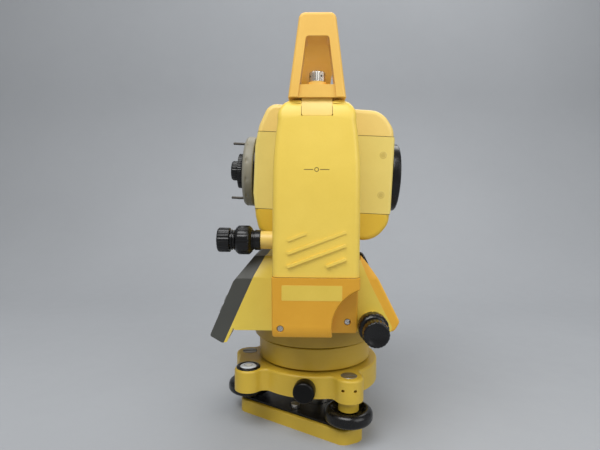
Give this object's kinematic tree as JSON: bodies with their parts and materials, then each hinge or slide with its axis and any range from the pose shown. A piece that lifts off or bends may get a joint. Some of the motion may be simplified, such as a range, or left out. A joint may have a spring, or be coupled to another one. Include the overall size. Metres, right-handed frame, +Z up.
{
  "type": "electronic theodolite",
  "caption": "Surveyor's electronic theodolite: telescope tilting between two standards that turn on a levelling tribrach, with control panel, slow motion knobs and carrying handle",
  "frame": {"origin": "mouth of the tripod thread, in the middle of the base plate's underside, the surface it stands on", "axes": "+Z up along the vertical axis, +X level along the line of sight towards the objective, +Y to the left of the observer, along the trunnion axis"},
  "size_m": [0.164, 0.1912, 0.345],
  "materials": {
    "yellow_cover": "satin moulded plastic",
    "orange_cover": "satin moulded plastic, a little more orange",
    "yellow_cast": "painted light-alloy casting",
    "mustard_cast": "painted light-alloy casting",
    "dark_grey": "matt moulded plastic",
    "key_grey": "moulded keys",
    "brown_grey": "painted ring",
    "black": "smooth black",
    "black_plate": "blackened spring steel",
    "steel": "turned steel",
    "chrome": "knurled and plated",
    "brass": "turned brass",
    "glass": "clear",
    "tinted_glass": "display window"
  },
  "bodies": {
    "base": {"base_plate": "mustard_cast", "spring_plate": "black_plate", "base_screws": "steel", "tripod_bush": "steel"},
    "tilt_link": {"ball_tip_back": "steel"},
    "tribrach": {"tribrach_body": "mustard_cast", "foot_caps": "steel", "circular_level_case": "black", "circular_level_vial": "glass", "lower_housing": "yellow_cast", "axis_sleeve": "brass", "horizontal_circle": "glass"},
    "foot_left_tip": {"ball_tip_left": "steel"},
    "foot_left_screw": {"foot_screw_left": "black"},
    "foot_front_tip": {"ball_tip_front": "steel"},
    "foot_front_screw": {"foot_screw_front": "black"},
    "foot_back_screw": {"foot_screw_back": "black"},
    "lock_knob": {"tribrach_lock_knob": "black"},
    "alidade": {"rotating_flange": "yellow_cast", "axis_spindle": "steel", "alidade_base": "yellow_cast", "front_cover": "orange_cover", "display_housing": "dark_grey", "display_window": "tinted_glass", "plate_level": "brown_grey", "plummet_tube": "black", "standard_frame_right": "yellow_cast", "standard_frame_left": "yellow_cast", "right_cover": "yellow_cover", "right_lower_cover": "orange_cover", "left_cover": "yellow_cover", "cover_screws": "steel", "handle": "orange_cover", "drive_bosses": "yellow_cast"},
    "battery": {"battery": "orange_cover"},
    "handle_lock_right": {"handle_lock_right": "chrome"},
    "handle_lock_left": {"handle_lock_left": "chrome"},
    "plummet_ring": {"plummet_ring": "black"},
    "vertical_clamp": {"vertical_clamp": "black"},
    "vertical_tangent_screw": {"vertical_tangent_screw": "black"},
    "horizontal_clamp": {"horizontal_clamp": "black"},
    "horizontal_tangent_screw": {"horizontal_tangent_screw": "black"},
    "telescope": {"telescope_body": "yellow_cast", "telescope_top": "yellow_cover", "telescope_bottom": "orange_cover", "trunnion_axles": "steel", "vertical_circle": "glass", "objective_ring": "black", "objective_lens": "glass", "rear_barrel": "black"},
    "focusing_ring": {"focusing_ring": "brown_grey"},
    "focusing_lens": {"focusing_lens": "glass"},
    "eyepiece": {"eyepiece": "black"},
    "key_1": {"key_1": "key_grey"},
    "key_2": {"key_2": "key_grey"},
    "key_3": {"key_3": "key_grey"},
    "key_4": {"key_4": "key_grey"},
    "key_5": {"key_5": "key_grey"},
    "key_6": {"key_6": "key_grey"}
  },
  "joints": [
    {"name": "level_side_tilt", "type": "hinge", "parent": "base", "child": "tilt_link", "pos_m": [0.03404, 0.05302, 0.009], "axis": [0.0471, 0.9989, 0], "range_deg": [-0.91, 0.91]},
    {"name": "level_front_tilt", "type": "hinge", "parent": "tilt_link", "child": "tribrach", "pos_m": [0.03404, 0.05302, 0.009], "axis": [-0.8886, -0.4586, 0], "range_deg": [-0.91, 0.91]},
    {"name": "foot_left_travel", "type": "slide", "parent": "tribrach", "child": "foot_left_tip", "axis": [0, 0, 1], "range_m": [-0.00153, 0.00153]},
    {"name": "foot_left_turn", "type": "hinge", "parent": "foot_left_tip", "child": "foot_left_screw", "pos_m": [-0.06293, 0.00297, 0.009], "axis": [0, 0, 1], "range_deg": [-727.2, 727.2]},
    {"name": "foot_front_travel", "type": "slide", "parent": "tribrach", "child": "foot_front_tip", "axis": [0, 0, 1], "range_m": [-0.00153, 0.00153]},
    {"name": "foot_front_turn", "type": "hinge", "parent": "foot_front_tip", "child": "foot_front_screw", "pos_m": [0.02889, -0.05598, 0.009], "axis": [0, 0, 1], "range_deg": [-727.2, 727.2]},
    {"name": "foot_back_turn", "type": "hinge", "parent": "tribrach", "child": "foot_back_screw", "pos_m": [0.03404, 0.05302, 0.009], "axis": [0, 0, 1], "range_deg": [-720, 720]},
    {"name": "tribrach_lock_turn", "type": "hinge", "parent": "tribrach", "child": "lock_knob", "pos_m": [-0.0082, -0.06146, 0.046], "axis": [-0.1323, -0.9912, 0], "range_deg": [0, 120]},
    {"name": "alidade_turn", "type": "hinge", "parent": "tribrach", "child": "alidade", "pos_m": [0, 0, 0.079], "axis": [0, 0, 1], "continuous": true},
    {"name": "telescope_tilt", "type": "hinge", "parent": "alidade", "child": "telescope", "pos_m": [0, 0, 0.228], "axis": [0, 1, 0], "continuous": true},
    {"name": "focus_turn", "type": "hinge", "parent": "telescope", "child": "focusing_ring", "pos_m": [0, 0, 0.228], "axis": [0.9992, 0, -0.041], "range_deg": [-180, 180]},
    {"name": "focusing_lens_travel", "type": "slide", "parent": "telescope", "child": "focusing_lens", "axis": [0.9992, 0, -0.041], "range_m": [-0.0081, 0.0081]},
    {"name": "eyepiece_turn", "type": "hinge", "parent": "telescope", "child": "eyepiece", "pos_m": [0, 0, 0.228], "axis": [0.9992, 0, -0.041], "range_deg": [-150, 150]},
    {"name": "vertical_clamp_turn", "type": "hinge", "parent": "alidade", "child": "vertical_clamp", "pos_m": [-0.056, -0.058, 0.171], "axis": [-1, 0, 0], "range_deg": [0, 90]},
    {"name": "vertical_tangent_turn", "type": "hinge", "parent": "alidade", "child": "vertical_tangent_screw", "pos_m": [-0.075, -0.058, 0.171], "axis": [-1, 0, 0], "range_deg": [-1080, 1080]},
    {"name": "horizontal_clamp_turn", "type": "hinge", "parent": "alidade", "child": "horizontal_clamp", "pos_m": [0.0456, -0.08, 0.1043], "axis": [0, -1, 0], "range_deg": [0, 90]},
    {"name": "horizontal_tangent_turn", "type": "hinge", "parent": "alidade", "child": "horizontal_tangent_screw", "pos_m": [0.0456, -0.095, 0.1043], "axis": [0, -1, 0], "range_deg": [-1080, 1080]},
    {"name": "plummet_focus_turn", "type": "hinge", "parent": "alidade", "child": "plummet_ring", "pos_m": [0.0502, 0, 0.1436], "axis": [0.9063, 0, 0.4226], "range_deg": [-90, 90]},
    {"name": "battery_slide", "type": "slide", "parent": "alidade", "child": "battery", "axis": [0, 1, 0], "range_m": [0, 0.03]},
    {"name": "handle_lock_right_turn", "type": "hinge", "parent": "alidade", "child": "handle_lock_right", "pos_m": [0, -0.0755, 0.298], "axis": [0, 0, 1], "range_deg": [0, 1080]},
    {"name": "handle_lock_left_turn", "type": "hinge", "parent": "alidade", "child": "handle_lock_left", "pos_m": [0, 0.0755, 0.298], "axis": [0, 0, 1], "range_deg": [0, 1080]},
    {"name": "key_1_press", "type": "slide", "parent": "alidade", "child": "key_1", "axis": [0.9184, 0, -0.3956], "range_m": [0, 0.0006], "stiffness_N_per_m": 500, "springref_m": -0.0006},
    {"name": "key_2_press", "type": "slide", "parent": "alidade", "child": "key_2", "axis": [0.9184, 0, -0.3956], "range_m": [0, 0.0006], "stiffness_N_per_m": 500, "springref_m": -0.0006},
    {"name": "key_3_press", "type": "slide", "parent": "alidade", "child": "key_3", "axis": [0.9184, 0, -0.3956], "range_m": [0, 0.0006], "stiffness_N_per_m": 500, "springref_m": -0.0006},
    {"name": "key_4_press", "type": "slide", "parent": "alidade", "child": "key_4", "axis": [0.9184, 0, -0.3956], "range_m": [0, 0.0006], "stiffness_N_per_m": 500, "springref_m": -0.0006},
    {"name": "key_5_press", "type": "slide", "parent": "alidade", "child": "key_5", "axis": [0.9184, 0, -0.3956], "range_m": [0, 0.0006], "stiffness_N_per_m": 500, "springref_m": -0.0006},
    {"name": "key_6_press", "type": "slide", "parent": "alidade", "child": "key_6", "axis": [0.9184, 0, -0.3956], "range_m": [0, 0.0006], "stiffness_N_per_m": 500, "springref_m": -0.0006}
  ],
  "couplings": [
    {"joint": "foot_left_travel", "follows": "level_side_tilt", "m_per_rad": -0.0945},
    {"joint": "foot_left_turn", "follows": "level_side_tilt", "ratio": -791.64},
    {"joint": "foot_front_travel", "follows": "level_front_tilt", "m_per_rad": -0.0945},
    {"joint": "foot_front_turn", "follows": "level_front_tilt", "ratio": -791.64},
    {"joint": "focusing_lens_travel", "follows": "focus_turn", "m_per_rad": 0.0025465}
  ]
}
